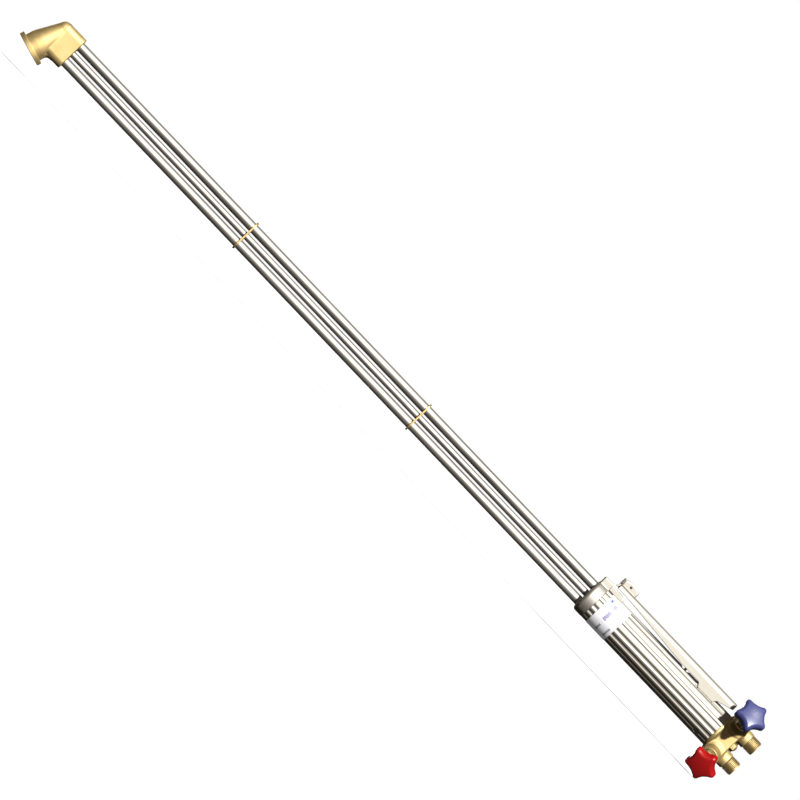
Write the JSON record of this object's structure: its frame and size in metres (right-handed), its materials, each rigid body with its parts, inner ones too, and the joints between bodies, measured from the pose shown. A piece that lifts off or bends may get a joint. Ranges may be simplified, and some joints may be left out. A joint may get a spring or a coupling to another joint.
{
  "type": "propane cutting torch",
  "caption": "Long hand cutting torch for oxygen and propane: angled brass head, tubes, fluted handle with squeeze lever and star-knob needle valves.",
  "frame": {"origin": "centre of the nozzle socket's mouth, on the front face of the head's flange", "axes": "+X along the barrel from the head to the hose inlets; +Z towards the lever side; the needle valve knobs point towards -Y"},
  "size_m": [1.0019, 0.0661, 0.1012],
  "materials": {
    "cast_brass": "machined and tumbled brass castings",
    "turned_brass": "bright turned brass",
    "stainless_tube": "drawn and polished stainless steel",
    "nickel_plate": "bright nickel plate over brass and steel",
    "steel_hardware": "turned steel",
    "seal_rubber": "matt nitrile rubber",
    "printed_label": "printed vinyl film",
    "blue_plastic": "moulded blue plastic",
    "red_plastic": "moulded red plastic"
  },
  "bodies": {
    "torch_body": {"torch_head": "cast_brass", "cutting_oxygen_tube": "stainless_tube", "heating_oxygen_tube": "stainless_tube", "fuel_tube": "stainless_tube", "tube_clips": "turned_brass", "handle_front_cap": "nickel_plate", "handle_sleeve": "nickel_plate", "handle_label": "printed_label", "handle_screws": "steel_hardware", "valve_body": "cast_brass", "gallery_plug": "turned_brass", "lever_pivot_pin": "steel_hardware", "cutting_valve_gland": "turned_brass", "cutting_valve_stem_seal": "seal_rubber", "cutting_valve_spring": "steel_hardware", "cutting_valve_plug": "turned_brass", "oxygen_gland_nut": "turned_brass", "fuel_gland_nut": "turned_brass"},
    "lever": {"lever": "nickel_plate", "latch_pin": "steel_hardware"},
    "latch": {"lever_latch": "nickel_plate"},
    "cutting_plunger": {"cutting_valve_plunger": "steel_hardware", "cutting_valve_seat_seal": "seal_rubber"},
    "oxygen_spindle_travel": {"oxygen_spindle_seal": "seal_rubber"},
    "oxygen_spindle_and_knob": {"oxygen_spindle": "steel_hardware", "oxygen_knob": "blue_plastic"},
    "fuel_spindle_travel": {"fuel_spindle_seal": "seal_rubber"},
    "fuel_spindle_and_knob": {"fuel_spindle": "steel_hardware", "fuel_knob": "red_plastic"}
  },
  "joints": [
    {"name": "lever_press", "type": "hinge", "parent": "torch_body", "child": "lever", "pos_m": [0.9105, 0, 0.036], "axis": [0, -1, 0], "range_deg": [0, 2.4], "stiffness_Nm_per_rad": 2, "springref_deg": -2.86},
    {"name": "plunger_lift", "type": "slide", "parent": "torch_body", "child": "cutting_plunger", "axis": [0, 0, -1], "range_m": [0, 0.0013], "deforming": ["cutting_valve_spring"]},
    {"name": "latch_swing", "type": "hinge", "parent": "lever", "child": "latch", "pos_m": [0.7859, 0, 0.0631], "axis": [0, 1, 0], "range_deg": [0, 8]},
    {"name": "oxygen_valve_lift", "type": "slide", "parent": "torch_body", "child": "oxygen_spindle_travel", "axis": [0, -0.866, 0.5], "range_m": [0, 0.00225]},
    {"name": "oxygen_valve_turn", "type": "hinge", "parent": "oxygen_spindle_travel", "child": "oxygen_spindle_and_knob", "pos_m": [0.9563, 0, 0.0422], "axis": [0, -0.866, 0.5], "range_deg": [0, 811]},
    {"name": "fuel_valve_lift", "type": "slide", "parent": "torch_body", "child": "fuel_spindle_travel", "axis": [0, -0.866, -0.5], "range_m": [0, 0.00225]},
    {"name": "fuel_valve_turn", "type": "hinge", "parent": "fuel_spindle_travel", "child": "fuel_spindle_and_knob", "pos_m": [0.9563, 0, 0.0138], "axis": [0, -0.866, -0.5], "range_deg": [0, 811]}
  ],
  "couplings": [
    {"joint": "plunger_lift", "follows": "lever_press", "m_per_rad": 0.0305},
    {"joint": "oxygen_valve_turn", "follows": "oxygen_valve_lift", "rad_per_m": 6283.2},
    {"joint": "fuel_valve_turn", "follows": "fuel_valve_lift", "rad_per_m": 6283.2}
  ]
}
